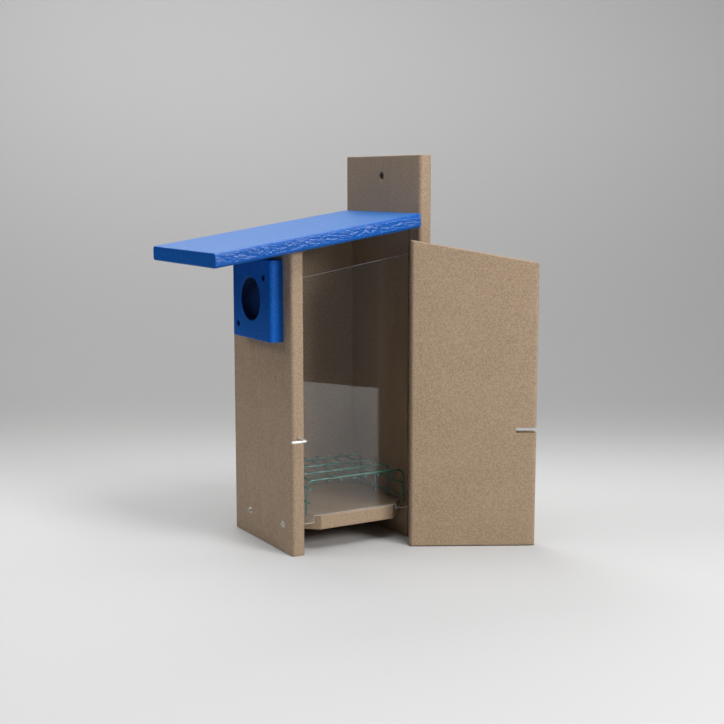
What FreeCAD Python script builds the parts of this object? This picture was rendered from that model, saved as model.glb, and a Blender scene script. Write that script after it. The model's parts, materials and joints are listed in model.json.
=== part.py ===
import FreeCAD, Part
import math
import os

from FreeCAD import Placement, Rotation, Vector

# A bluebird nest box in recycled plastic lumber, with its right side board swung open.
# Millimetres. +X is the door side, -Y the front, +Z up. The origin is the centre of the back
# board's bottom end, on the surface that the box stands on.

# Lumber and the box
BOARD_T = 12.7
BACK_W = 131.6
BACK_H = 349.0
BODY_DEPTH = 121.7
LONG_EDGE_R = 3.2
CUT_EDGE_R = 1.0

# Roof
ROOF_SLOPE = 0.15
ROOF_UNDER_Z = 285.2
ROOF_W = 136.4
ROOF_REACH = 198.0

# Entrance
ENTRANCE_R = 19.05
ENTRANCE_Z = 223.3
GUARD_W = 76.4
GUARD_Z0 = 188.0
GUARD_H = 70.8
GUARD_EASE = 0.6

# Floor
FLOOR_Z = 19.8
FLOOR_RIGHT_X = 50.1
FLOOR_CLIP = 17.4

# Mounting hole in the back board
MOUNT_HOLE_R = 3.6
MOUNT_HOLE_Z = 330.5
MOUNT_HOLE_CHAMFER = 0.6

# Viewing window and its saw kerfs
WINDOW_T = 2.0
WINDOW_X = 48.2
KERF_W = 2.6
KERF_DEPTH = 3.0
KERF_END = 0.5
WINDOW_IN_KERF = 2.5
WINDOW_FRONT_Z = 243.4
WINDOW_BACK_Z = 261.9
FRONT_EAR_W = 11.6
BACK_EAR_W = 13.1
FRONT_EAR_Z = 26.7
BACK_EAR_Z = 28.6

# Door and its hinges
DOOR_X0 = 53.5
DOOR_GAP_BACK = 3.0
DOOR_LENGTH = 113.2
DOOR_BOTTOM_Z = 0.6
DOOR_BACK_Z = 275.0
DOOR_FRONT_Z = 254.9
DOOR_OPEN_DEG = 151.4
HINGE_X = 67.0
HINGE_AHEAD = 6.6
HINGE_H = 38.0
HINGE_LOW_Z = 52.0
HINGE_HIGH_Z = 216.0
LEAF_T = 1.0
LEAF_W = 15.6
KNUCKLE_R = 1.6
PIN_R = 0.95
KNUCKLE_GAP = 0.3
PIN_CAP_H = 0.6
PIN_CAP_IN = 0.2
LEAF_SEAT_DEPTH_DOOR = 1.2
LEAF_SEAT_DEPTH_FIXED = 0.5
LEAF_TAB_ROOM = 0.7
LEAF_SCREW_IN = 4.6
LEAF_SCREW_OUT = 9.6
LEAF_SCREW_APART = 22.0
SEAT_ROOM = 0.2
PIN_ROOM = 0.4

# Latch: a square-bend screw hook in the front board's edge
HOOK_WIRE_R = 1.35
HOOK_AHEAD = 115.0
HOOK_Z = 105.3
HOOK_BAR_X = 67.95
HOOK_BAR_LENGTH = 14.2
HOOK_BEND_R = 2.2
HOOK_THREAD_LENGTH = 16.0
SLOT_Z0 = 103.4
SLOT_Z1 = 108.2
SLOT_LENGTH = 18.5

# Raised nest floor of welded wire
WIRE_R = 1.0
LONG_WIRE_SPACING = 25.4
LONG_WIRE_X0 = 43.4
LONG_WIRE_COUNT = 4
CROSS_WIRE_SPACING = 12.7
CROSS_WIRE_Y0 = -17.9
PLATFORM_Z = 63.6
LEG_FRONT_AHEAD = 102.7
LEG_BACK_AHEAD = 2.4
LEG_BEND_R = 6.0
NUB = 2.4
STUB = 16.0
WELD = 0.25

# Screws: head radius, shank radius and length
BOARD_SCREW = (3.0, 1.7, 31.0)
GUARD_SCREW = (3.2, 1.6, 21.0)
LEAF_SCREW = (2.0, 1.2, 9.0)
GUARD_SCREW_SUNK = 1.8
SCREW_RIM = 0.4
SCREW_TIP = 3.0
SCREW_TIP_R = 0.3

# Room left where pieces meet or pass
FIT = 0.3
RUNNING = 0.05
PAST = 1.0

# Derived places
BACK_FACE_Y = -BOARD_T / 2
REAR_FACE_Y = BOARD_T / 2
FRONT_Y = BACK_FACE_Y - BODY_DEPTH
FRONT_INNER_Y = FRONT_Y + BOARD_T
OUTER_X = BACK_W / 2
INNER_X = OUTER_X - BOARD_T
GUARD_Y = FRONT_Y - BOARD_T
FLOOR_TOP = FLOOR_Z + BOARD_T
HINGE_Y = BACK_FACE_Y - HINGE_AHEAD
HOOK_Y = BACK_FACE_Y - HOOK_AHEAD
DOOR_X1 = DOOR_X0 + BOARD_T
DOOR_BACK_Y = BACK_FACE_Y - DOOR_GAP_BACK
DOOR_FRONT_Y = DOOR_BACK_Y - DOOR_LENGTH
LEAF_SEAT_X = DOOR_X1 - LEAF_SEAT_DEPTH_DOOR


def roof_under(y):
    """Height of the roof's underside at y."""
    return ROOF_UNDER_Z + ROOF_SLOPE * (y - BACK_FACE_Y)


def box(x, y, z):
    """A box from pairs of limits along each axis."""
    corner = Vector(x[0], y[0], z[0])
    return Part.makeBox(x[1] - x[0], y[1] - y[0], z[1] - z[0], corner)


def side_profile(points, x0, x1):
    """A closed outline of (y, z) points, carried from x0 to x1."""
    outline = [Vector(x0, y, z) for y, z in points]
    face = Part.Face(Part.makePolygon(outline + outline[:1]))
    return face.extrude(Vector(x1 - x0, 0, 0))


def edges_along(shape, direction):
    """The straight edges that run within 15 degrees of a direction."""
    found = []
    for edge in shape.Edges:
        run = edge.Vertexes[-1].Point - edge.Vertexes[0].Point
        if run.Length > 1 and abs(run.dot(direction)) > 0.966 * run.Length:
            found.append(edge)
    return found


def eased(shape, direction, long_r=LONG_EDGE_R, cut_r=CUT_EDGE_R):
    """Rounds a board's long edges, as they come moulded, and eases its sawn ends."""
    shape = shape.makeFillet(long_r, edges_along(shape, direction))
    ends = []
    for face in shape.Faces:
        if face.Surface.TypeId != "Part::GeomPlane":
            continue
        if abs(face.normalAt(0, 0).dot(direction)) > 0.95:
            ends += face.OuterWire.Edges
    return shape.makeFillet(cut_r, ends)


def cylinder(radius, start, end):
    """A round bar from one point to another."""
    run = end - start
    return Part.makeCylinder(radius, run.Length, start, run)


def fused(solids):
    """Several solids as one, with their shared faces merged."""
    whole = solids[0].fuse(solids[1:]) if len(solids) > 1 else solids[0]
    return whole.removeSplitter()


def screw(size, place, outward, clearance=0.0):
    """A countersunk screw whose head faces outward. With a clearance it is the hole for one."""
    head_r, shank_r, length = size
    head_r += clearance
    shank_r += clearance
    cone_z = -SCREW_RIM - (head_r - shank_r)
    top = 4.0 if clearance else 0.0
    tip_r = shank_r if clearance else SCREW_TIP_R
    outline = [
        Vector(0, 0, top),
        Vector(head_r, 0, top),
        Vector(head_r, 0, -SCREW_RIM),
        Vector(shank_r, 0, cone_z),
        Vector(shank_r, 0, -length + SCREW_TIP),
        Vector(tip_r, 0, -length - clearance),
        Vector(0, 0, -length - clearance),
    ]
    face = Part.Face(Part.makePolygon(outline + outline[:1]))
    body = face.revolve(Vector(0, 0, 0), Vector(0, 0, 1), 360)
    if not clearance:
        arm = head_r * 0.62
        wide = head_r * 0.14
        deep = head_r * 0.45
        for x, y in ((arm, wide), (wide, arm)):
            body = body.cut(box((-x, x), (-y, y), (-deep, PAST)))
    turn = Rotation(Vector(0, 0, 1), outward)
    return body.transformed(Placement(place, turn).toMatrix())


def screws(size, places, outward):
    """A group of separate screws."""
    return Part.makeCompound([screw(size, place, outward) for place in places])


def drilled(board, size, places, outward):
    """A board with a hole for each screw."""
    for place in places:
        board = board.cut(screw(size, place, outward, RUNNING))
    return board


FRONT = Vector(0, -1, 0)
REAR = Vector(0, 1, 0)
LEFT = Vector(-1, 0, 0)
RIGHT = Vector(1, 0, 0)
UP = Vector(0, 0, 1)

FLOOR_MID = FLOOR_Z + BOARD_T / 2
SIDE_MID_X = -(INNER_X + OUTER_X) / 2
FRONT_MID_Y = FRONT_Y + BOARD_T / 2
ROOF_MID_Z = ROOF_UNDER_Z + BOARD_T / 2 + FIT
HINGES = {"lower": HINGE_LOW_Z, "upper": HINGE_HIGH_Z}

GUARD_HEAD_Y = GUARD_Y + GUARD_SCREW_SUNK
GUARD_SCREWS = [Vector(-26.3, GUARD_HEAD_Y, 199.2), Vector(25.5, GUARD_HEAD_Y, 243.4)]
FRONT_FLOOR_SCREWS = [Vector(-32.3, FRONT_Y, 23.4), Vector(34.6, FRONT_Y, 25.4)]
BACK_FLOOR_SCREWS = [Vector(x, REAR_FACE_Y, FLOOR_MID) for x in (-33.0, 33.0)]
SIDE_FLOOR_SCREWS = [Vector(-OUTER_X, y, FLOOR_MID) for y in (-92.0, -36.0)]
SIDE_FRONT_SCREWS = [Vector(-OUTER_X, FRONT_MID_Y, z) for z in (62.0, 150.0, 250.0)]
BACK_SIDE_SCREWS = [Vector(SIDE_MID_X, REAR_FACE_Y, z) for z in (62.0, 160.0, 255.0)]
BACK_ROOF_SCREWS = [Vector(x, REAR_FACE_Y, ROOF_MID_Z) for x in (-45.0, 0.0, 45.0)]


def leaf_screws(x, y):
    """Places for two screws in each hinge's leaf."""
    apart = (-LEAF_SCREW_APART / 2, LEAF_SCREW_APART / 2)
    return [Vector(x, y, z + step) for z in HINGES.values() for step in apart]


FIXED_LEAF_X = OUTER_X - LEAF_SEAT_DEPTH_FIXED
FIXED_LEAF_SCREWS = leaf_screws(FIXED_LEAF_X + LEAF_T, BACK_FACE_Y + LEAF_SCREW_IN)
DOOR_LEAF_SCREWS = leaf_screws(LEAF_SEAT_X + LEAF_T, HINGE_Y - LEAF_SCREW_OUT)


def kerf(y0, y1):
    """The saw kerf that a window edge stands in, from the bottom up to the roof."""
    half = KERF_W / 2
    return box((WINDOW_X - half, WINDOW_X + half), (y0, y1), (-PAST, roof_under(y0) - KERF_END))


def back_board():
    board = box((-OUTER_X, OUTER_X), (BACK_FACE_Y, REAR_FACE_Y), (0, BACK_H))
    board = eased(board, UP)
    hole = Vector(0, REAR_FACE_Y, MOUNT_HOLE_Z)
    board = board.cut(Part.makeCylinder(MOUNT_HOLE_R, BOARD_T, hole, FRONT))
    wide = MOUNT_HOLE_R + MOUNT_HOLE_CHAMFER
    for y, outward in ((REAR_FACE_Y, REAR), (BACK_FACE_Y, FRONT)):
        mouth = Vector(0, y, MOUNT_HOLE_Z)
        chamfer = Part.makeCone(wide, MOUNT_HOLE_R, MOUNT_HOLE_CHAMFER, mouth, -outward)
        board = board.cut(chamfer)
    board = board.cut(kerf(BACK_FACE_Y - PAST, BACK_FACE_Y + KERF_DEPTH))
    seat_x = (FIXED_LEAF_X, OUTER_X + PAST)
    seat_y = (BACK_FACE_Y - PAST, HINGE_Y + LEAF_W + SEAT_ROOM)
    for z in HINGES.values():
        seat_z = (z - HINGE_H / 2 - SEAT_ROOM, z + HINGE_H / 2 + SEAT_ROOM)
        board = board.cut(box(seat_x, seat_y, seat_z))
    rear_screws = BACK_FLOOR_SCREWS + BACK_SIDE_SCREWS + BACK_ROOF_SCREWS
    board = drilled(board, BOARD_SCREW, rear_screws, REAR)
    return drilled(board, LEAF_SCREW, FIXED_LEAF_SCREWS, RIGHT)


def front_board():
    outline = [
        (FRONT_Y, 0),
        (FRONT_INNER_Y, 0),
        (FRONT_INNER_Y, roof_under(FRONT_INNER_Y)),
        (FRONT_Y, roof_under(FRONT_Y)),
    ]
    board = side_profile(outline, -INNER_X, INNER_X)
    right = [e for e in edges_along(board, UP) if e.CenterOfMass.x > 0]
    board = board.makeFillet(LONG_EDGE_R, right)
    bottom = [e for e in board.Edges if e.BoundBox.ZMax < 0.01]
    board = board.makeFillet(CUT_EDGE_R, bottom)
    hole = Vector(0, FRONT_Y - PAST, ENTRANCE_Z)
    board = board.cut(Part.makeCylinder(ENTRANCE_R, BOARD_T + 2 * PAST, hole, REAR))
    board = board.cut(kerf(FRONT_INNER_Y - KERF_DEPTH, FRONT_INNER_Y + PAST))
    bore_end = Vector(INNER_X - HOOK_THREAD_LENGTH - FIT, HOOK_Y, HOOK_Z)
    bore_mouth = Vector(INNER_X + PAST, HOOK_Y, HOOK_Z)
    board = board.cut(cylinder(HOOK_WIRE_R + RUNNING, bore_end, bore_mouth))
    board = drilled(board, GUARD_SCREW, GUARD_SCREWS, FRONT)
    board = drilled(board, BOARD_SCREW, FRONT_FLOOR_SCREWS, FRONT)
    return drilled(board, BOARD_SCREW, SIDE_FRONT_SCREWS, LEFT)


def left_side_board():
    outline = [
        (FRONT_Y, 0),
        (BACK_FACE_Y, 0),
        (BACK_FACE_Y, roof_under(BACK_FACE_Y)),
        (FRONT_Y, roof_under(FRONT_Y)),
    ]
    board = side_profile(outline, -OUTER_X, -INNER_X)
    outside = [e for e in edges_along(board, UP) if e.CenterOfMass.x < -INNER_X - 1]
    front = [e for e in outside if e.CenterOfMass.y < FRONT_Y + 1]
    board = board.makeFillet(LONG_EDGE_R, front)
    bottom = [e for e in board.Edges if e.BoundBox.ZMax < 0.01]
    board = board.makeFillet(CUT_EDGE_R, bottom)
    board = drilled(board, BOARD_SCREW, SIDE_FLOOR_SCREWS + SIDE_FRONT_SCREWS, LEFT)
    return drilled(board, BOARD_SCREW, BACK_SIDE_SCREWS, REAR)


def floor_board():
    """The floor, with its four corners sawn off so that water drains."""
    x0, x1, y0, y1 = -INNER_X, FLOOR_RIGHT_X, FRONT_INNER_Y, BACK_FACE_Y
    c = FLOOR_CLIP
    outline = [
        (x0 + c, y0), (x1 - c, y0), (x1, y0 + c), (x1, y1 - c),
        (x1 - c, y1), (x0 + c, y1), (x0, y1 - c), (x0, y0 + c),
    ]
    points = [Vector(x, y, FLOOR_Z) for x, y in outline]
    board = Part.Face(Part.makePolygon(points + points[:1])).extrude(Vector(0, 0, BOARD_T))
    right = [e for e in edges_along(board, REAR) if e.CenterOfMass.x > x1 - 0.1]
    board = board.makeFillet(CUT_EDGE_R, right)
    board = drilled(board, BOARD_SCREW, FRONT_FLOOR_SCREWS, FRONT)
    board = drilled(board, BOARD_SCREW, BACK_FLOOR_SCREWS, REAR)
    return drilled(board, BOARD_SCREW, SIDE_FLOOR_SCREWS, LEFT)


def roof_board():
    """A sloped board whose two ends are sawn upright."""
    front = BACK_FACE_Y - ROOF_REACH
    rise = BOARD_T * math.sqrt(1 + ROOF_SLOPE ** 2)
    outline = [
        (BACK_FACE_Y, roof_under(BACK_FACE_Y)),
        (front, roof_under(front)),
        (front, roof_under(front) + rise),
        (BACK_FACE_Y, roof_under(BACK_FACE_Y) + rise),
    ]
    board = side_profile(outline, -ROOF_W / 2, ROOF_W / 2)
    board = eased(board, Vector(0, 1, ROOF_SLOPE).normalize())
    return drilled(board, BOARD_SCREW, BACK_ROOF_SCREWS, REAR)


def entrance_guard():
    half = GUARD_W / 2
    block = box((-half, half), (GUARD_Y, FRONT_Y), (GUARD_Z0, GUARD_Z0 + GUARD_H))
    front = [e for e in edges_along(block, UP) if e.CenterOfMass.y < GUARD_Y + 1]
    block = block.makeFillet(LONG_EDGE_R, front)
    level = [e for e in block.Edges if e.BoundBox.ZLength < 0.01]
    rim = [e for e in level if e.CenterOfMass.y < FRONT_Y - 0.1]
    block = block.makeFillet(GUARD_EASE, rim)
    hole = Vector(0, GUARD_Y - PAST, ENTRANCE_Z)
    block = block.cut(Part.makeCylinder(ENTRANCE_R, BOARD_T + 2 * PAST, hole, REAR))
    mouth = Vector(0, GUARD_Y, ENTRANCE_Z)
    wide = ENTRANCE_R + GUARD_EASE
    block = block.cut(Part.makeCone(wide, ENTRANCE_R, GUARD_EASE, mouth, REAR))
    return drilled(block, GUARD_SCREW, GUARD_SCREWS, FRONT)


def opened(shape):
    """Swings a piece from the closed door's place to the open one."""
    turned = shape.copy()
    turned.rotate(Vector(HINGE_X, HINGE_Y, 0), UP, DOOR_OPEN_DEG)
    return turned


def door_board():
    outline = [
        (DOOR_FRONT_Y, DOOR_BOTTOM_Z),
        (DOOR_BACK_Y, DOOR_BOTTOM_Z),
        (DOOR_BACK_Y, DOOR_BACK_Z),
        (DOOR_FRONT_Y, DOOR_FRONT_Z),
    ]
    board = side_profile(outline, DOOR_X0, DOOR_X1)
    board = eased(board, UP)
    slot_y = (DOOR_FRONT_Y - PAST, DOOR_FRONT_Y + SLOT_LENGTH)
    board = board.cut(box((DOOR_X0 - PAST, DOOR_X1 + PAST), slot_y, (SLOT_Z0, SLOT_Z1)))
    seat_x = (LEAF_SEAT_X, DOOR_X1 + PAST)
    seat_y = (HINGE_Y - LEAF_W - SEAT_ROOM, DOOR_BACK_Y + PAST)
    room = HINGE_H / 2 + PIN_CAP_H + PIN_ROOM
    for z in HINGES.values():
        board = board.cut(box(seat_x, seat_y, (z - room, z + room)))
    return opened(drilled(board, LEAF_SCREW, DOOR_LEAF_SCREWS, RIGHT))


def hinge_leaf(z, seat_x, side, knuckles):
    """One leaf: a plate on its own side of the pin, and a tab and knuckle at each given height."""
    near = HINGE_Y + side * (KNUCKLE_R + LEAF_TAB_ROOM)
    far = HINGE_Y + side * LEAF_W
    thick = (seat_x, seat_x + LEAF_T)
    parts = [box(thick, sorted((near, far)), (z - HINGE_H / 2, z + HINGE_H / 2))]
    for low, high in knuckles:
        parts.append(box(thick, sorted((HINGE_Y, near)), (low, high)))
        parts.append(Part.makeCylinder(KNUCKLE_R, high - low, Vector(HINGE_X, HINGE_Y, low), UP))
    return fused(parts)


def knuckle_heights(z):
    """The middle knuckle's limits, and the two outer ones', along one hinge."""
    third = HINGE_H / 3
    low = z - HINGE_H / 2
    half_gap = KNUCKLE_GAP / 2
    middle = (low + third + half_gap, low + 2 * third - half_gap)
    outer = [(low, low + third - half_gap), (low + 2 * third + half_gap, low + HINGE_H)]
    return middle, outer


def pin_bar(z, radius):
    """A bar of a given radius along the whole of one hinge's pin."""
    low = Vector(HINGE_X, HINGE_Y, z - HINGE_H / 2)
    return Part.makeCylinder(radius, HINGE_H, low, UP)


def fixed_leaf(z):
    leaf = hinge_leaf(z, FIXED_LEAF_X, 1, knuckle_heights(z)[1])
    leaf = leaf.cut(pin_bar(z, PIN_R))
    return drilled(leaf, LEAF_SCREW, FIXED_LEAF_SCREWS, RIGHT)


def door_leaf(z):
    leaf = hinge_leaf(z, LEAF_SEAT_X, -1, [knuckle_heights(z)[0]])
    leaf = leaf.cut(pin_bar(z, PIN_R + RUNNING))
    return opened(drilled(leaf, LEAF_SCREW, DOOR_LEAF_SCREWS, RIGHT))


def hinge_pin(z):
    """A pin with a low button at each end."""
    bar = pin_bar(z, PIN_R)
    caps = []
    for end, way in ((z + HINGE_H / 2, UP), (z - HINGE_H / 2, -UP)):
        foot = Vector(HINGE_X, HINGE_Y, end)
        caps.append(Part.makeCylinder(KNUCKLE_R - PIN_CAP_IN, PIN_CAP_H, foot, way))
    return fused([bar] + caps)


def viewing_window():
    """A clear sheet that stands on the floor in two kerfs, with an ear in each sawn-off corner."""
    front = FRONT_INNER_Y - WINDOW_IN_KERF
    back = BACK_FACE_Y + WINDOW_IN_KERF
    rest_z = FLOOR_TOP + FIT
    outline = [
        (front, FRONT_EAR_Z),
        (FRONT_INNER_Y + FRONT_EAR_W, FRONT_EAR_Z),
        (FRONT_INNER_Y + FRONT_EAR_W, rest_z),
        (BACK_FACE_Y - BACK_EAR_W, rest_z),
        (BACK_FACE_Y - BACK_EAR_W, BACK_EAR_Z),
        (back, BACK_EAR_Z),
        (back, WINDOW_BACK_Z),
        (front, WINDOW_FRONT_Z),
    ]
    return side_profile(outline, WINDOW_X - WINDOW_T / 2, WINDOW_X + WINDOW_T / 2)


def long_wire(x):
    """A wire along Y that bends down into a leg at each end."""
    y0 = BACK_FACE_Y - LEG_FRONT_AHEAD
    y1 = BACK_FACE_Y - LEG_BACK_AHEAD
    foot = FLOOR_TOP + FIT
    r = LEG_BEND_R
    bend_z = PLATFORM_Z - r
    low = math.sin(math.radians(45)) * r
    front_foot = Vector(x, y0, foot)
    front_up = Vector(x, y0, bend_z)
    front_bend = Vector(x, y0 + r - low, bend_z + low)
    front_top = Vector(x, y0 + r, PLATFORM_Z)
    back_top = Vector(x, y1 - r, PLATFORM_Z)
    back_bend = Vector(x, y1 - r + low, bend_z + low)
    back_up = Vector(x, y1, bend_z)
    back_foot = Vector(x, y1, foot)
    path = Part.Wire([
        Part.LineSegment(front_foot, front_up).toShape(),
        Part.Arc(front_up, front_bend, front_top).toShape(),
        Part.LineSegment(front_top, back_top).toShape(),
        Part.Arc(back_top, back_bend, back_up).toShape(),
        Part.LineSegment(back_up, back_foot).toShape(),
    ])
    section = Part.Wire(Part.makeCircle(WIRE_R, front_foot, UP))
    return path.makePipeShell([section], True, True)


def long_wires():
    xs = [LONG_WIRE_X0 - i * LONG_WIRE_SPACING for i in range(LONG_WIRE_COUNT)]
    return Part.makeCompound([long_wire(x) for x in xs])


def cross_wire_places():
    """(y, z) of the cross wires: 12.7 apart along the long wires, just inside them."""
    inside = 2 * WIRE_R - WELD
    z = PLATFORM_Z - inside
    places = []
    y = BACK_FACE_Y + CROSS_WIRE_Y0
    front_end = BACK_FACE_Y - LEG_FRONT_AHEAD + LEG_BEND_R
    while y > front_end:
        places.append((y, z))
        y -= CROSS_WIRE_SPACING
    quarter = LEG_BEND_R * math.pi / 2
    down = front_end - y - quarter
    bend_z = PLATFORM_Z - LEG_BEND_R
    front_leg_y = BACK_FACE_Y - LEG_FRONT_AHEAD + inside
    for step in range(2):
        places.append((front_leg_y, bend_z - down - step * CROSS_WIRE_SPACING))
    back_start = BACK_FACE_Y - LEG_BACK_AHEAD - LEG_BEND_R
    back_y = BACK_FACE_Y + CROSS_WIRE_Y0 + 2 * CROSS_WIRE_SPACING
    down = back_y - back_start - quarter
    back_leg_y = BACK_FACE_Y - LEG_BACK_AHEAD - inside
    for step in range(2):
        places.append((back_leg_y, bend_z - down - step * CROSS_WIRE_SPACING))
    return places


def cross_wires():
    x1 = LONG_WIRE_X0 + WIRE_R + NUB
    x0 = LONG_WIRE_X0 - (LONG_WIRE_COUNT - 1) * LONG_WIRE_SPACING - STUB
    wires = []
    for y, z in cross_wire_places():
        wires.append(cylinder(WIRE_R, Vector(x0, y, z), Vector(x1, y, z)))
    return Part.makeCompound(wires)


def latch_hook():
    """The hook's shank along X, a tight bend, and a bar that points to the front."""
    r = HOOK_BEND_R
    low = r * (1 - math.sin(math.radians(45)))
    start = Vector(INNER_X - HOOK_THREAD_LENGTH, HOOK_Y, HOOK_Z)
    turn_in = Vector(HOOK_BAR_X - r, HOOK_Y, HOOK_Z)
    turn_mid = Vector(HOOK_BAR_X - low, HOOK_Y - low, HOOK_Z)
    turn_out = Vector(HOOK_BAR_X, HOOK_Y - r, HOOK_Z)
    tip = Vector(HOOK_BAR_X, HOOK_Y - HOOK_BAR_LENGTH, HOOK_Z)
    path = Part.Wire([
        Part.LineSegment(start, turn_in).toShape(),
        Part.Arc(turn_in, turn_mid, turn_out).toShape(),
        Part.LineSegment(turn_out, tip).toShape(),
    ])
    section = Part.Wire(Part.makeCircle(HOOK_WIRE_R, start, RIGHT))
    return path.makePipeShell([section], True, True)


PIECES = {
    "back_board": back_board(),
    "front_board": front_board(),
    "left_side_board": left_side_board(),
    "floor_board": floor_board(),
    "roof_board": roof_board(),
    "entrance_guard": entrance_guard(),
    "door_board": door_board(),
    "viewing_window": viewing_window(),
    "nest_mesh_long_wires": long_wires(),
    "nest_mesh_cross_wires": cross_wires(),
    "latch_hook": latch_hook(),
    "guard_screws": screws(GUARD_SCREW, GUARD_SCREWS, FRONT),
    "floor_screws_front": screws(BOARD_SCREW, FRONT_FLOOR_SCREWS, FRONT),
    "floor_screws_back": screws(BOARD_SCREW, BACK_FLOOR_SCREWS, REAR),
    "floor_screws_side": screws(BOARD_SCREW, SIDE_FLOOR_SCREWS, LEFT),
    "front_board_screws": screws(BOARD_SCREW, SIDE_FRONT_SCREWS, LEFT),
    "side_board_screws": screws(BOARD_SCREW, BACK_SIDE_SCREWS, REAR),
    "roof_screws": screws(BOARD_SCREW, BACK_ROOF_SCREWS, REAR),
    "hinge_screws_fixed": screws(LEAF_SCREW, FIXED_LEAF_SCREWS, RIGHT),
    "hinge_screws_door": opened(screws(LEAF_SCREW, DOOR_LEAF_SCREWS, RIGHT)),
}
for name, height in HINGES.items():
    PIECES["hinge_fixed_leaf_" + name] = fixed_leaf(height)
    PIECES["hinge_door_leaf_" + name] = door_leaf(height)
    PIECES["hinge_pin_" + name] = hinge_pin(height)

os.makedirs("parts", exist_ok=True)
for name, shape in PIECES.items():
    shape.exportStep("parts/" + name + ".step")
    state = "valid" if shape.isValid() else "not valid"
    print(name, len(shape.Solids), "solids", round(shape.Volume, 1), "mm3", state)
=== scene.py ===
import json
import math

import bmesh
import bpy
from mathutils import Matrix, Vector


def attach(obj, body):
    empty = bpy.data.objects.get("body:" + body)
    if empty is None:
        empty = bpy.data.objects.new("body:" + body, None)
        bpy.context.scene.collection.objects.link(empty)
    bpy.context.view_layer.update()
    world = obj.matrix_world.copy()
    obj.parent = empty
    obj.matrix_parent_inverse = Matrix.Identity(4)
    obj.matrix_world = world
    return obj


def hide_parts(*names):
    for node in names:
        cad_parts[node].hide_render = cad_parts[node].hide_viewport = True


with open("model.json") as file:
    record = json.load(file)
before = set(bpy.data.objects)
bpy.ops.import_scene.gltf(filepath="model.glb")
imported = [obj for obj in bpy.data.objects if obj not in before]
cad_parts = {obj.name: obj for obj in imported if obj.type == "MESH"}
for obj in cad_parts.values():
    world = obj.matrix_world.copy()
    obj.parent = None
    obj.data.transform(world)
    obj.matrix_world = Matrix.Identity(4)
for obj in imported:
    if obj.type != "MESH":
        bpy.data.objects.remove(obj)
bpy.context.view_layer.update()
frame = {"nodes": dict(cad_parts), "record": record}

# A bluebird nest box in plastic lumber. The boards, window, hook and hinges are the CAD solids with
# finishes of their own. The wire nest floor and the screws are made here, where the CAD solids
# stand. Every length is in metres.

# Camera: where it stands and looks; the lens and sensor are in millimetres
CAMERA_AT = Vector((1.0245, -0.62555, 0.3264))
CAMERA_LOOK = Vector((-0.854936, 0.499537, -0.139812))
CAMERA_LENS = 63.895
SENSOR = 36.0

# Entrance hole, whose wall gets painted shade: its axis runs front to rear, and the hole ends at
# the front board's inner face
HOLE_X = 0.0
HOLE_Z = 0.2233
HOLE_R = 0.01905
BORE_END = -0.112
BORE_FADE = 0.002

# Wire nest floor: the coat swells and thins a little, and pools where wires are welded
WIRE_SIDES = 14
WIRE_STEP = 0.0022
BEND_RADIUS = 0.006
BEND_POINTS = 8
COAT_SWELL = 0.00004
COAT_MEAN = 0.62
POOL_WIDTH = 1.35
POOL_DEPTH = 1.05

# Screws. The thread's depth is a share of the shank's radius, and the star recess is three slots
# whose sizes are shares of the head's radius.
THREAD_PITCH = 0.0014
THREAD_DEPTH = 0.24
HEAD_RIM = 0.0004
CORE_START = 0.0015
TIP_LENGTH = 0.003
TIP_RADIUS = 0.0002
PLAIN_LENGTH = 0.002
HEAD_SIDES = 40
CORE_SIDES = 24
STAR_SLOTS = 3
SLOT_LENGTH = 1.15
SLOT_WIDTH = 0.44
SLOT_DEPTH = 0.95

# Clear sheet
ACRYLIC_IOR = 1.49

# Corners sharper than this, in degrees, stay sharp on the pieces made here
SHARP_CORNER = 35.0


# ---------------------------------------------------------------- finishes

class Value:
    """A socket in a finish's nodes, which takes arithmetic as a number does."""

    def __init__(self, finish, socket):
        self.finish = finish
        self.socket = socket

    def maths(self, operation, first, second=0.0):
        return self.finish.node("ShaderNodeMath", {"operation": operation}, {0: first, 1: second})

    def __add__(self, other):
        return self.maths("ADD", self, other)

    def __radd__(self, other):
        return self.maths("ADD", other, self)

    def __sub__(self, other):
        return self.maths("SUBTRACT", self, other)

    def __rsub__(self, other):
        return self.maths("SUBTRACT", other, self)

    def __mul__(self, other):
        return self.maths("MULTIPLY", self, other)

    def __rmul__(self, other):
        return self.maths("MULTIPLY", other, self)

    def __abs__(self):
        return self.maths("ABSOLUTE", self)

    def over(self, low, high):
        """0 below low, 1 above high, and a smooth step between."""
        settings = {"interpolation_type": "SMOOTHSTEP"}
        inputs = {"Value": self, "From Min": low, "From Max": high}
        return self.finish.node("ShaderNodeMapRange", settings, inputs)


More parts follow.
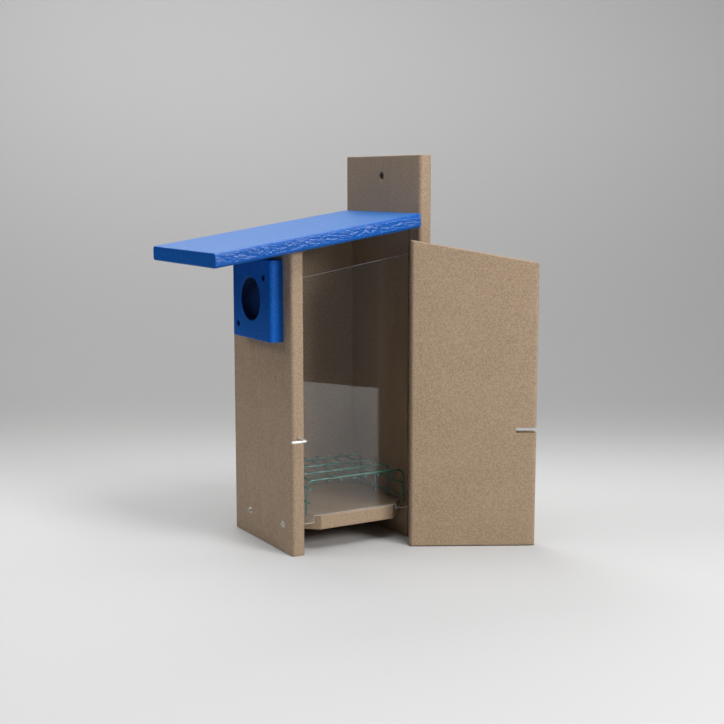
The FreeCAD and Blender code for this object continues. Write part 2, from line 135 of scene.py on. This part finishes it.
class Finish:
    """One material, and the one way that nodes are added to it."""

    def __init__(self, name):
        self.material = bpy.data.materials.new(name)
        self.material.use_nodes = True
        self.tree = self.material.node_tree
        self.tree.nodes.clear()
        self.place = self.node("ShaderNodeTexCoord", out="Object")
        self.facing = self.node("ShaderNodeTexCoord", out="Normal")

    def node(self, kind, settings=None, inputs=None, out=0):
        """Adds a node: its type, its settings, then its sockets' values or links."""
        made = self.tree.nodes.new(kind)
        for key, value in (settings or {}).items():
            setattr(made, key, value)
        for key, value in (inputs or {}).items():
            if isinstance(value, Value):
                self.tree.links.new(value.socket, made.inputs[key])
            else:
                made.inputs[key].default_value = value
        return Value(self, made.outputs[out])

    def mix(self, factor, first, second):
        """A colour between two: the first at 0 and the second at 1."""
        settings = {"data_type": "RGBA"}
        return self.node("ShaderNodeMix", settings, {0: factor, 6: first, 7: second}, out=2)

    def stretched(self, scale, turn=(0.0, 0.0, 0.0)):
        """Object coordinates, turned and scaled along each axis."""
        inputs = {"Vector": self.place, "Scale": scale, "Rotation": turn}
        return self.node("ShaderNodeMapping", {}, inputs)

    def noise(self, scale, detail, rough, place=None, seed=0.0):
        """Even noise over the piece, or along the coordinates given; the seed picks the pattern."""
        inputs = {
            "Vector": place or self.place,
            "Scale": scale,
            "Detail": detail,
            "Roughness": rough,
            "W": seed,
        }
        return self.node("ShaderNodeTexNoise", {"noise_dimensions": "4D"}, inputs)

    def part_of(self, vector, axis):
        """One part of a vector."""
        return self.node("ShaderNodeSeparateXYZ", {}, {0: vector}, out=axis)

    def along(self, axis):
        """How squarely the surface faces along one axis, 0 to 1."""
        return abs(self.part_of(self.facing, axis))

    def bump(self, height, strength, distance):
        """A normal for small relief of this height."""
        inputs = {"Height": height, "Strength": strength, "Distance": distance}
        return self.node("ShaderNodeBump", {}, inputs)

    def plain(self, inputs):
        """Ends the finish with one opaque surface."""
        return self.surface(self.node("ShaderNodeBsdfPrincipled", {}, inputs))

    def surface(self, shader):
        """Ends the finish with a shader."""
        end = self.tree.nodes.new("ShaderNodeOutputMaterial")
        self.tree.links.new(shader.socket, end.inputs["Surface"])
        return self.material


def colour(red, green, blue):
    return (red, green, blue, 1.0)


def lumber(name, shades, length, broad, gloss, sheen, pebble, beading=0.0, painted_top_light=None, painted_bore_shade=None):
    """Moulded plastic lumber: an orange-peel skin, streaks along its length, and sawn ends.

    The board's length and its broad faces lie along the axes given. Pebble and beading are how
    far the skin and the side edges stand out. The pale colour, if given, is painted light: the
    broad faces turn paler for the light and sheen they catch from above. The hole's colour, if
    given, is painted shade, laid dark on the entrance hole's wall where the shade falls.
    """
    f = Finish(name)
    dark, light, streak_colour = shades
    along_board = {"Y": (900.0, 26.0, 900.0), "Z": (900.0, 900.0, 26.0)}[length]
    across_end = (1300.0, 60.0, 60.0)
    bead_scale, bead_lean = (450.0, 250.0, 520.0), (0.35, 0.0, 0.0)
    mottle = f.noise(620.0, 2.0, 0.6, seed=1.3)
    fine = f.noise(1600.0, 1.0, 0.5, seed=4.1)
    cloud = f.noise(22.0, 3.0, 0.55, seed=2.2)
    streak = f.noise(1.0, 2.0, 0.6, f.stretched(along_board), seed=5.0)
    saw = f.noise(1.0, 2.0, 0.6, f.stretched(across_end), seed=6.0)
    beads = f.noise(1.0, 1.0, 0.5, f.stretched(bead_scale, bead_lean), seed=9.0)
    face = f.along(broad).over(0.6, 0.95)
    sawn = f.along(length).over(0.6, 0.95)
    edge = f.along("X").over(0.5, 0.9)
    pits = f.noise(700.0, 1.0, 0.5, seed=7.7).over(0.62, 0.72) * sawn
    tone = mottle.over(0.36, 0.64) * 0.55 + fine.over(0.35, 0.65) * 0.3
    tone = tone + cloud.over(0.25, 0.75) * 0.15
    base = f.mix(tone, dark, light)
    # Painted light: the broad faces turn paler, for the light and sheen they catch from above
    if painted_top_light:
        base = f.mix(face * (0.8 + tone * 0.2), base, painted_top_light)
    base = f.mix(streak.over(0.42, 0.68) * face * 0.2, base, streak_colour)
    base = f.mix(pits * 0.5, base, streak_colour)
    skin = 1.0 - face * 0.6 - sawn * 0.3
    height = mottle * pebble * skin + fine * 0.3 * skin + streak * face * 0.4
    height = height + saw * sawn * 0.9 - pits * 0.8 + beads * edge * beading
    rough = gloss + (mottle - 0.5) * 0.18 + sawn * 0.12
    if painted_bore_shade:
        # Painted shade: the entrance hole's wall is coloured dark, where the shade falls in the
        # hole
        bore_shade_mask = in_the_bore(f)
        base = f.mix(bore_shade_mask, base, painted_bore_shade)
        rough = rough + bore_shade_mask * 0.6
    if painted_top_light:
        rough = rough + face * 0.27
    return f.plain({
        "Base Color": base,
        "Roughness": rough,
        "Normal": f.bump(height, 0.5, 0.0005),
        "IOR": 1.5,
        "Specular IOR Level": sheen,
    })


def in_the_bore(f):
    """1 on the entrance hole's own wall, where the painted shade goes, and 0 elsewhere."""
    flat = {0: f.place, 1: (1.0, 0.0, 1.0)}
    across = f.node("ShaderNodeVectorMath", {"operation": "MULTIPLY"}, flat)
    ends = {0: across, 1: (HOLE_X, 0.0, HOLE_Z)}
    from_axis = f.node("ShaderNodeVectorMath", {"operation": "DISTANCE"}, ends, out="Value")
    outside = from_axis.over(HOLE_R + 0.0001, HOLE_R + 0.0004)
    past_end = f.part_of(f.place, "Y").over(BORE_END, BORE_END + BORE_FADE)
    return (1.0 - outside) * (1.0 - past_end)


def clear_sheet(name):
    """Clear acrylic, with dust and faint scuffs.

    It lets light straight through and mirrors a little. The rear faces have a share of their own,
    so that they don't mirror everything.
    """
    f = Finish(name)
    scuff_scale, scuff_lean = (40.0, 700.0, 60.0), (0.5, 0.0, 0.0)
    dust = f.noise(900.0, 1.0, 0.5, seed=3.3).over(0.74, 0.80)
    scuffs = f.noise(1.0, 2.0, 0.6, f.stretched(scuff_scale, scuff_lean), seed=8.1)
    scuffs = scuffs.over(0.66, 0.8)
    clear = f.node("ShaderNodeBsdfTransparent", {}, {"Color": colour(0.95, 0.95, 0.945)})
    bright = {"Color": colour(1.0, 1.0, 1.0), "Roughness": 0.01}
    mirror = f.node("ShaderNodeBsdfGlossy", {}, bright)
    film = f.node("ShaderNodeBsdfDiffuse", {}, {"Color": colour(0.92, 0.92, 0.92)})
    entering = f.node("ShaderNodeFresnel", {}, {"IOR": ACRYLIC_IOR})
    leaving = f.node("ShaderNodeFresnel", {}, {"IOR": 1 / ACRYLIC_IOR})
    behind = f.node("ShaderNodeNewGeometry", out="Backfacing")
    shine = entering * (1.0 - behind) + leaving * behind
    glass = f.node("ShaderNodeMixShader", {}, {0: shine, 1: clear, 2: mirror})
    cut_edge = 1.0 - f.along("X").over(0.3, 0.7)
    veil = dust * 0.25 + scuffs * 0.02 + 0.006 + cut_edge * 0.7
    return f.surface(f.node("ShaderNodeMixShader", {}, {0: veil, 1: glass, 2: film}))


def coated_wire(name):
    """Glossy green plastic dipped over wire, a little uneven."""
    f = Finish(name)
    uneven = f.noise(300.0, 2.0, 0.5, seed=1.0)
    fine = f.noise(1800.0, 1.0, 0.5, seed=2.0)
    deep, bright = colour(0.006, 0.115, 0.085), colour(0.014, 0.19, 0.145)
    return f.plain({
        "Base Color": f.mix(uneven.over(0.3, 0.7), deep, bright),
        "Roughness": 0.18 + uneven * 0.12,
        "Normal": f.bump(uneven + fine * 0.3, 0.35, 0.0004),
        "Coat Weight": 0.8,
    })


def metal(name, dark, light, gloss, grain):
    """Plated or coated steel, with a fine grain and dull patches."""
    f = Finish(name)
    patch = f.noise(160.0, 3.0, 0.6, seed=1.9)
    fine = f.noise(grain, 2.0, 0.6, seed=2.9)
    return f.plain({
        "Base Color": f.mix(patch.over(0.3, 0.7), dark, light),
        "Metallic": 1.0,
        "Roughness": gloss + patch * 0.14 + fine * 0.06,
        "Normal": f.bump(fine + patch * 0.4, 0.25, 0.0002),
    })


# Dark, light and streak colour of each lumber
TAUPE = (colour(0.270, 0.190, 0.124), colour(0.455, 0.335, 0.228), colour(0.20, 0.143, 0.096))
BLUE = (colour(0.0015, 0.078, 0.350), colour(0.003, 0.115, 0.500), colour(0.001, 0.046, 0.18))
# Painted light: the paler blue the roof's top takes for the light and sheen it catches from above
PAINTED_ROOF_TOP_LIGHT = colour(0.022, 0.148, 0.455)
# Painted shade: the dark blue laid on the entrance hole's wall
BORE_SHADE = colour(0.0008, 0.012, 0.060)
FINISHES = {
    "taupe_lumber": lumber(
        "taupe_plastic_lumber", TAUPE, "Z", "Y", gloss=0.50, sheen=0.22, pebble=1.0,
        # painted shade in the entrance hole
        painted_bore_shade=BORE_SHADE,
    ),
    "taupe_floor": lumber(
        "taupe_floor_lumber", TAUPE, "Y", "Z", gloss=0.50, sheen=0.22, pebble=1.0,
    ),
    "blue_lumber": lumber(
        "blue_guard_lumber", BLUE, "Z", "Y", gloss=0.30, sheen=0.22, pebble=0.8,
        # painted shade in the entrance hole
        painted_bore_shade=BORE_SHADE,
    ),
    "blue_roof": lumber(
        "blue_roof_lumber", BLUE, "Y", "Z", gloss=0.20, sheen=0.30, pebble=1.2, beading=4.2,
        # painted light on the roof's top
        painted_top_light=PAINTED_ROOF_TOP_LIGHT,
    ),
    "clear_acrylic": clear_sheet("clear_acrylic_sheet"),
    "green_wire": coated_wire("green_coated_wire"),
    "plated_hook": metal(
        "bright_zinc_plate", colour(0.80, 0.80, 0.78), colour(0.95, 0.95, 0.93), 0.30, 1800.0,
    ),
    "zinc_screw": metal(
        "screw_zinc_plate", colour(0.62, 0.62, 0.58), colour(0.84, 0.84, 0.80), 0.28, 2500.0,
    ),
    "dark_screw": metal(
        "screw_dark_coating", colour(0.012, 0.011, 0.010), colour(0.030, 0.027, 0.024), 0.42,
        2500.0,
    ),
    "hinge_steel": metal(
        "hinge_satin_steel", colour(0.42, 0.42, 0.41), colour(0.60, 0.60, 0.58), 0.32, 1400.0,
    ),
}

SLOT_OF = {part["node"]: part["material_slot"] for part in frame["record"]["subparts"]}
BODY_OF = {
    node: body
    for body, members in frame["record"]["behaviour"]["bodies"].items()
    for node in members
}


def dress(piece, slot):
    """Gives a piece its finish in every material slot it has."""
    if not piece.data.materials:
        piece.data.materials.append(FINISHES[slot])
    for index in range(len(piece.data.materials)):
        piece.data.materials[index] = FINISHES[slot]


# The roof and the floor board lie flat, so their lumber runs front to rear
for node, piece in frame["nodes"].items():
    dress(piece, SLOT_OF[node])
dress(frame["nodes"]["roof_board"], "blue_roof")
dress(frame["nodes"]["floor_board"], "taupe_floor")


# ---------------------------------------------------------------- geometry nodes

class Tree:
    """A geometry node tree with named inputs."""

    def __init__(self, name, sizes):
        self.tree = bpy.data.node_groups.new(name, "GeometryNodeTree")
        self.tree.interface.new_socket("Geometry", in_out="INPUT", socket_type="NodeSocketGeometry")
        self.keys = {}
        for label, (kind, default) in sizes.items():
            kind = "NodeSocket" + kind
            socket = self.tree.interface.new_socket(label, in_out="INPUT", socket_type=kind)
            socket.default_value = default
            self.keys[label] = socket.identifier
        kind = "NodeSocketGeometry"
        self.tree.interface.new_socket("Geometry", in_out="OUTPUT", socket_type=kind)
        self.start = self.tree.nodes.new("NodeGroupInput")
        self.end = self.tree.nodes.new("NodeGroupOutput")

    def given(self, label):
        """One of the tree's own inputs."""
        return self.start.outputs[label]

    def node(self, kind, settings=None, inputs=None, out=0):
        """Adds a node: its type, its settings, then its sockets' values or links.

        A list links several pieces of geometry to one socket.
        """
        made = self.tree.nodes.new(kind)
        for key, value in (settings or {}).items():
            setattr(made, key, value)
        for key, value in (inputs or {}).items():
            for one in value if isinstance(value, list) else [value]:
                if isinstance(one, bpy.types.NodeSocket):
                    self.tree.links.new(one, made.inputs[key])
                else:
                    made.inputs[key].default_value = one
        return made.outputs[out]

    def maths(self, operation, first, second=0.0):
        return self.node("ShaderNodeMath", {"operation": operation}, {0: first, 1: second})

    def finish(self, geometry, material):
        """Ends the tree with plain geometry in one material."""
        real = self.node("GeometryNodeRealizeInstances", {}, {0: geometry})
        inputs = {"Geometry": real, "Material": material}
        dressed = self.node("GeometryNodeSetMaterial", {}, inputs)
        self.tree.links.new(dressed, self.end.inputs[0])

    def grow(self, name, seed_mesh, sizes):
        """Runs the tree on a mesh and returns the result as one plain mesh object."""
        source = bpy.data.objects.new(name + "_source", seed_mesh)
        bpy.context.scene.collection.objects.link(source)
        modifier = source.modifiers.new("grow", "NODES")
        modifier.node_group = self.tree
        for label, value in sizes.items():
            modifier[self.keys[label]] = value
        bpy.context.view_layer.update()
        evaluated = source.evaluated_get(bpy.context.evaluated_depsgraph_get())
        mesh = bpy.data.meshes.new_from_object(evaluated)
        source.modifiers.remove(modifier)
        bpy.data.objects.remove(source)
        return placed(name, mesh)


def placed(name, data):
    """A new object in the scene, at the origin."""
    thing = bpy.data.objects.new(name, data)
    bpy.context.scene.collection.objects.link(thing)
    return thing


def solids_of(node):
    """The separate solids in a CAD node: their lowest and highest corners, in order of place."""
    work = bmesh.new()
    work.from_mesh(frame["nodes"][node].data)
    bmesh.ops.remove_doubles(work, verts=work.verts, dist=1e-6)
    seen = set()
    found = []
    for vert in work.verts:
        if vert.index in seen:
            continue
        group = [vert]
        seen.add(vert.index)
        for one in group:
            for edge in one.link_edges:
                other = edge.other_vert(one)
                if other.index not in seen:
                    seen.add(other.index)
                    group.append(other)
        low = Vector([min(v.co[i] for v in group) for i in range(3)])
        high = Vector([max(v.co[i] for v in group) for i in range(3)])
        found.append((low, high))
    work.free()
    return sorted(found, key=lambda pair: tuple(pair[0]))


def shaded(piece):
    """Smooth faces, with the true corners kept sharp."""
    mesh = piece.data
    work = bmesh.new()
    work.from_mesh(mesh)
    bmesh.ops.remove_doubles(work, verts=work.verts, dist=1e-7)
    bmesh.ops.recalc_face_normals(work, faces=work.faces)
    limit = math.radians(SHARP_CORNER)
    for face in work.faces:
        face.smooth = True
    for edge in work.edges:
        edge.smooth = len(edge.link_faces) == 2 and edge.calc_face_angle(0.0) < limit
    work.to_mesh(mesh)
    work.free()


def replace_node(piece, node):
    """Stands a finished piece in for a CAD node, on the same body and in the same finish."""
    dress(piece, SLOT_OF[node])
    shaded(piece)
    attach(piece, BODY_OF[node])
    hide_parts(node)


def run_mesh(name, runs):
    """Open runs of points as edges with no faces."""
    points = []
    edges = []
    for run in runs:
        start = len(points)
        points += run
        edges += [(start + i, start + i + 1) for i in range(len(run) - 1)]
    mesh = bpy.data.meshes.new(name)
    mesh.from_pydata(points, edges, [])
    return mesh


def wire_tree():
    """Runs become round wires with soft bends and a coat that swells a little."""
    t = Tree("coated_wires", {
        "Wire radius": ("Float", 0.001),
        "Bend radius": ("Float", BEND_RADIUS),
        "Sides": ("Int", WIRE_SIDES),
        "Swell": ("Float", COAT_SWELL),
        "Seed": ("Int", 3),
    })
    curve = t.node("GeometryNodeMeshToCurve", {}, {"Mesh": t.given("Geometry")})
    bent = t.node(
        "GeometryNodeFilletCurve", {"mode": "POLY"},
        {"Curve": curve, "Count": BEND_POINTS, "Radius": t.given("Bend radius")},
    )
    even = t.node(
        "GeometryNodeResampleCurve", {"mode": "LENGTH"},
        {"Curve": bent, "Length": WIRE_STEP},
    )
    ring = t.node(
        "GeometryNodeCurvePrimitiveCircle", {"mode": "RADIUS"},
        {"Resolution": t.given("Sides"), "Radius": t.given("Wire radius")},
    )
    round_wire = t.node(
        "GeometryNodeCurveToMesh", {},
        {"Curve": even, "Profile Curve": ring, "Fill Caps": True},
    )
    place = t.node("GeometryNodeInputPosition")
    swell = t.node(
        "ShaderNodeTexNoise", {"noise_dimensions": "4D"},
        {"Vector": place, "Scale": 260.0, "Detail": 1.0, "W": t.given("Seed")},
    )
    outward = t.node("GeometryNodeInputNormal")
    size = t.maths("MULTIPLY", t.maths("SUBTRACT", swell, COAT_MEAN), t.given("Swell"))
    push = t.node("ShaderNodeVectorMath", {"operation": "SCALE"}, {0: outward, "Scale": size})
    coated = t.node("GeometryNodeSetPosition", {}, {"Geometry": round_wire, "Offset": push})
    t.finish(coated, FINISHES["green_wire"])
    return t


def pool_tree():
    """A small swelling of the coat at each point, where two wires are welded."""
    t = Tree("coat_pools", {
        "Pool size": ("Vector", (0.001, 0.001, 0.001)),
        "Seed": ("Int", 5),
    })
    drop = t.node("GeometryNodeMeshIcoSphere", {}, {"Radius": 1.0, "Subdivisions": 3})
    vary = t.node(
        "FunctionNodeRandomValue", {"data_type": "FLOAT"},
        {2: 0.9, 3: 1.0, "Seed": t.given("Seed")}, out=1,
    )
    size = t.node(
        "ShaderNodeVectorMath", {"operation": "SCALE"},
        {0: t.given("Pool size"), "Scale": vary},
    )
    pools = t.node(
        "GeometryNodeInstanceOnPoints", {},
        {"Points": t.given("Geometry"), "Instance": drop, "Scale": size},
    )
    t.finish(pools, FINISHES["green_wire"])
    return t


def joined(name, pieces):
    """Several mesh objects as one."""
    work = bmesh.new()
    for piece in pieces:
        work.from_mesh(piece.data)
        bpy.data.objects.remove(piece)
    mesh = bpy.data.meshes.new(name)
    work.to_mesh(mesh)
    work.free()
    return placed(name, mesh)


def nest_floor():
    """The wire nest floor: long wires bent into legs, cross wires under them, and welds."""
    longs = solids_of("nest_mesh_long_wires")
    crosses = solids_of("nest_mesh_cross_wires")
    low, high = longs[0]
    radius = (high.x - low.x) / 2
    long_runs = []
    for low, high in longs:
        x = (low.x + high.x) / 2
        top = high.z - radius
        front = low.y + radius
        back = high.y - radius
        long_runs.append([(x, front, low.z), (x, front, top), (x, back, top), (x, back, low.z)])
    cross_runs = []
    welds = []
    for low, high in crosses:
        y = (low.y + high.y) / 2
        z = (low.z + high.z) / 2
        cross_runs.append([(low.x, y, z), (high.x, y, z)])
        for long_low, long_high in longs:
            welds.append([((long_low.x + long_high.x) / 2, y, z)])
    wires = wire_tree()
    sizes = {"Wire radius": radius, "Bend radius": BEND_RADIUS, "Seed": 3}
    long_wires = wires.grow("long_wires", run_mesh("long_runs", long_runs), sizes)
    sizes = {"Wire radius": radius, "Bend radius": 0.0, "Seed": 8}
    cross_wires = wires.grow("cross_wires", run_mesh("cross_runs", cross_runs), sizes)
    sizes = {"Pool size": (radius * POOL_WIDTH, radius * POOL_WIDTH, radius * POOL_DEPTH)}
    pools = pool_tree().grow("pools", run_mesh("weld_points", welds), sizes)
    replace_node(joined("nest_floor_long_wires", [long_wires]), "nest_mesh_long_wires")
    replace_node(joined("nest_floor_cross_wires", [cross_wires, pools]), "nest_mesh_cross_wires")


def screw_tree():
    """A countersunk screw at each point: star recess, core, thread and tip. Its head faces +Z."""
    t = Tree("countersunk_screws", {
        "Head radius": ("Float", 0.003),
        "Shank radius": ("Float", 0.0017),
        "Length": ("Float", 0.03),
        "Turns": ("Float", 12.0),
        "Facing": ("Vector", (0.0, 0.0, 0.0)),
    })
    head_r = t.given("Head radius")
    shank_r = t.given("Shank radius")
    length = t.given("Length")
    core_r = t.maths("MULTIPLY", shank_r, 1.0 - THREAD_DEPTH)
    cone = t.maths("SUBTRACT", head_r, shank_r)
    run = t.maths("SUBTRACT", length, TIP_LENGTH)

    def at(geometry, height):
        shift = t.node("ShaderNodeCombineXYZ", {}, {"Z": height})
        return t.node("GeometryNodeTransform", {}, {"Geometry": geometry, "Translation": shift})

    disc = t.node(
        "GeometryNodeMeshCylinder", {},
        {"Vertices": HEAD_SIDES, "Radius": head_r, "Depth": HEAD_RIM},
    )
    disc = at(disc, -HEAD_RIM / 2)
    taper = t.node(
        "GeometryNodeMeshCone", {},
        {"Vertices": HEAD_SIDES, "Radius Top": head_r, "Radius Bottom": shank_r, "Depth": cone},
    )
    taper = at(taper, t.maths("SUBTRACT", -HEAD_RIM, cone))
    slot_size = t.node("ShaderNodeCombineXYZ", {}, {
        "X": t.maths("MULTIPLY", head_r, SLOT_LENGTH),
        "Y": t.maths("MULTIPLY", head_r, SLOT_WIDTH),
        "Z": t.maths("MULTIPLY", head_r, SLOT_DEPTH),
    })
    slots = []
    for number in range(STAR_SLOTS):
        slot = t.node("GeometryNodeMeshCube", {}, {"Size": slot_size})
        turned = {"Geometry": slot, "Rotation": (0.0, 0.0, number * math.pi / STAR_SLOTS)}
        slots.append(t.node("GeometryNodeTransform", {}, turned))
    whole = t.node("GeometryNodeMeshBoolean", {"operation": "UNION"}, {"Mesh 2": [disc, taper]})
    head = t.node(
        "GeometryNodeMeshBoolean", {"operation": "DIFFERENCE"},
        {"Mesh 1": whole, "Mesh 2": slots},
    )
    core = t.node(
        "GeometryNodeMeshCylinder", {},
        {"Vertices": CORE_SIDES, "Radius": core_r, "Depth": t.maths("SUBTRACT", run, CORE_START)},
    )
    core = at(core, t.maths("MULTIPLY", t.maths("ADD", run, CORE_START), -0.5))
    point = t.node("GeometryNodeMeshCone", {}, {
        "Vertices": CORE_SIDES,
        "Radius Top": core_r,
        "Radius Bottom": TIP_RADIUS,
        "Depth": TIP_LENGTH,
    })
    point = at(point, t.maths("MULTIPLY", length, -1.0))
    thread_r = t.maths("MULTIPLY", shank_r, 1.0 - THREAD_DEPTH / 2)
    helix = t.node("GeometryNodeCurveSpiral", {}, {
        "Resolution": 20,
        "Rotations": t.given("Turns"),
        "Start Radius": thread_r,
        "End Radius": thread_r,
        "Height": t.maths("SUBTRACT", t.maths("SUBTRACT", run, cone), PLAIN_LENGTH),
    })
    ridge = t.node(
        "GeometryNodeCurvePrimitiveCircle", {"mode": "RADIUS"},
        {"Resolution": 5, "Radius": t.maths("MULTIPLY", shank_r, THREAD_DEPTH / 2)},
    )
    thread = t.node(
        "GeometryNodeCurveToMesh", {},
        {"Curve": helix, "Profile Curve": ridge, "Fill Caps": True},
    )
    thread = at(thread, t.maths("MULTIPLY", run, -1.0))
    screw = t.node("GeometryNodeJoinGeometry", {}, {"Geometry": [head, core, point, thread]})
    spin = t.node(
        "FunctionNodeRandomValue", {"data_type": "FLOAT"},
        {2: 0.0, 3: 1.5, "Seed": 7}, out=1,
    )
    own_turn = t.node("ShaderNodeCombineXYZ", {}, {"Z": spin})
    set_out = t.node(
        "GeometryNodeInstanceOnPoints", {},
        {"Points": t.given("Geometry"), "Instance": screw, "Rotation": t.given("Facing")},
    )
    spun = t.node(
        "GeometryNodeRotateInstances", {},
        {"Instances": set_out, "Rotation": own_turn},
    )
    t.finish(spun, FINISHES["zinc_screw"])
    return t


# Which way the heads face, as the turns that bring +Z there
TO_FRONT = (math.pi / 2, 0.0, 0.0)
TO_REAR = (-math.pi / 2, 0.0, 0.0)
TO_LEFT = (0.0, -math.pi / 2, 0.0)
TO_RIGHT = (0.0, math.pi / 2, 0.0)
# Each set of screws: its facing, the head's radius and the shank's
SCREW_SETS = {
    "guard_screws": (TO_FRONT, 0.0032, 0.0016),
    "floor_screws_front": (TO_FRONT, 0.003, 0.0017),
    "floor_screws_back": (TO_REAR, 0.003, 0.0017),
    "floor_screws_side": (TO_LEFT, 0.003, 0.0017),
    "front_board_screws": (TO_LEFT, 0.003, 0.0017),
    "side_board_screws": (TO_REAR, 0.003, 0.0017),
    "roof_screws": (TO_REAR, 0.003, 0.0017),
}


def screw_sets():
    """Real screws in place of every set of plain ones, as long as those are."""
    tree = screw_tree()
    for node, (facing, head_r, shank_r) in SCREW_SETS.items():
        turn = Matrix.Rotation(facing[0], 3, "X") @ Matrix.Rotation(facing[1], 3, "Y")
        out = turn @ Vector((0, 0, 1))
        heads = []
        for low, high in solids_of(node):
            middle = (low + high) / 2
            half = abs((high - low).dot(out)) / 2
            heads.append([tuple(middle + out * half)])
            length = 2 * half
        sizes = {
            "Head radius": head_r,
            "Shank radius": shank_r,
            "Length": length,
            "Turns": (length - 2 * TIP_LENGTH) / THREAD_PITCH,
            "Facing": facing,
        }
        screws = tree.grow("set_of_" + node, run_mesh(node + "_points", heads), sizes)
        replace_node(screws, node)


nest_floor()
screw_sets()


# ---------------------------------------------------------------- studio

def aimed(name, data, place, look):
    """A camera or a lamp at a place, facing along a direction."""
    thing = placed(name, data)
    turn = look.to_track_quat("-Z", "Y").to_matrix().to_4x4()
    thing.matrix_world = Matrix.Translation(place) @ turn
    return thing


def camera():
    """The camera, a little above the box and looking down at its front corner."""
    data = bpy.data.cameras.new("camera")
    data.lens = CAMERA_LENS
    data.sensor_width = SENSOR
    data.clip_start = 0.05
    bpy.context.scene.camera = aimed("camera", data, CAMERA_AT, CAMERA_LOOK)


def softbox(name, place, target, size, power):
    """A soft rectangular lamp, aimed at a point."""
    data = bpy.data.lights.new(name, "AREA")
    data.shape = "RECTANGLE"
    data.size = size[0]
    data.size_y = size[1]
    data.energy = power
    aimed(name, data, place, Vector(target) - Vector(place))


def sweep():
    """A pale floor that curves up into a backdrop behind the box, with painted shade towards the
    back.
    """
    ahead = Vector((CAMERA_LOOK.x, CAMERA_LOOK.y, 0)).normalized()
    right = Vector((-ahead.y, ahead.x, 0)) * -1
    floor_end = 0.45
    curve_r = 0.9
    wall_top = 1.3
    left_end = -0.85
    right_end = 0.76
    steps = 24
    profile = [(-2.4, 0.0), (-1.2, 0.0), (-0.4, 0.0), (0.2, 0.0)]
    for i in range(steps + 1):
        angle = math.pi / 2 * i / steps
        depth = floor_end + curve_r * math.sin(angle)
        profile.append((depth, curve_r * (1 - math.cos(angle))))
    profile.append((floor_end + curve_r, wall_top))
    columns = [left_end + (right_end - left_end) * i / steps for i in range(steps + 1)]
    verts = []
    for across in columns:
        for depth, height in profile:
            verts.append(right * across + ahead * depth + Vector((0, 0, height)))
    count = len(profile)
    faces = []
    for i in range(len(columns) - 1):
        for j in range(count - 1):
            a = i * count + j
            faces.append((a, a + count, a + count + 1, a + 1))
    mesh = bpy.data.meshes.new("sweep")
    mesh.from_pydata(verts, [], faces)
    for polygon in mesh.polygons:
        polygon.use_smooth = True
    f = Finish("pale_sweep")
    inputs = {0: f.place, 1: ahead}
    back = f.node("ShaderNodeVectorMath", {"operation": "DOT_PRODUCT"}, inputs, out="Value")
    height = f.part_of(f.place, "Z")
    base = f.mix(f.noise(3.0, 2.0, 0.5), colour(0.55, 0.55, 0.55), colour(0.57, 0.57, 0.57))
    # Painted shade: the floor grows darker away from the camera, and the wall is painted a middle
    # grey
    base = f.mix(back.over(0.05, 0.65), base, colour(0.325, 0.322, 0.322))
    base = f.mix(height.over(0.02, 0.60), base, colour(0.45, 0.45, 0.45))
    mesh.materials.append(f.plain({"Base Color": base, "Roughness": 0.9}))
    placed("sweep", mesh)


def room_light(level, below, seen):
    """Soft light from above and dark near the floor; past the sweep, an even grey is seen."""
    world = bpy.data.worlds.new("studio")
    bpy.context.scene.world = world
    world.use_nodes = True
    nodes = world.node_tree.nodes
    links = world.node_tree.links
    nodes.clear()
    place = nodes.new("ShaderNodeTexCoord")
    split = nodes.new("ShaderNodeSeparateXYZ")
    ramp = nodes.new("ShaderNodeValToRGB")
    path = nodes.new("ShaderNodeLightPath")
    room = nodes.new("ShaderNodeBackground")
    plain = nodes.new("ShaderNodeBackground")
    both = nodes.new("ShaderNodeMixShader")
    end = nodes.new("ShaderNodeOutputWorld")
    links.new(place.outputs["Generated"], split.inputs[0])
    links.new(split.outputs["Z"], ramp.inputs[0])
    low, high = ramp.color_ramp.elements
    low.position, low.color = 0.10, colour(below, below, below)
    high.position, high.color = 0.35, colour(level, level, level)
    links.new(ramp.outputs[0], room.inputs["Color"])
    plain.inputs["Color"].default_value = colour(seen, seen, seen)
    links.new(path.outputs["Is Camera Ray"], both.inputs[0])
    links.new(room.outputs[0], both.inputs[1])
    links.new(plain.outputs[0], both.inputs[2])
    links.new(both.outputs[0], end.inputs[0])


# Where the lamps are aimed: the middle of the box, and its back board for the back light
BOX_MIDDLE = (0.0, -0.05, 0.12)
BACK_BOARD = (0.0, 0.0, 0.25)

camera()
sweep()
room_light(0.02, 0.01, 0.5)
softbox("side", (1.43, 0.50, 0.76), BOX_MIDDLE, (0.55, 0.40), 15.5)
softbox("key", (0.86, -0.04, 1.52), BOX_MIDDLE, (0.5, 0.5), 9.0)
softbox("top", (0.1, -0.1, 1.9), BOX_MIDDLE, (1.6, 1.6), 20.0)
softbox("fill", (-0.55, -1.25, 1.15), BOX_MIDDLE, (0.8, 0.8), 8.0)
softbox("left", (-1.2, 0.15, 1.35), BOX_MIDDLE, (1.0, 1.0), 12.0)
softbox("back", (-1.25, 0.75, 1.10), BACK_BOARD, (1.6, 0.6), 6.0)
bpy.context.scene.view_settings.view_transform = "Standard"
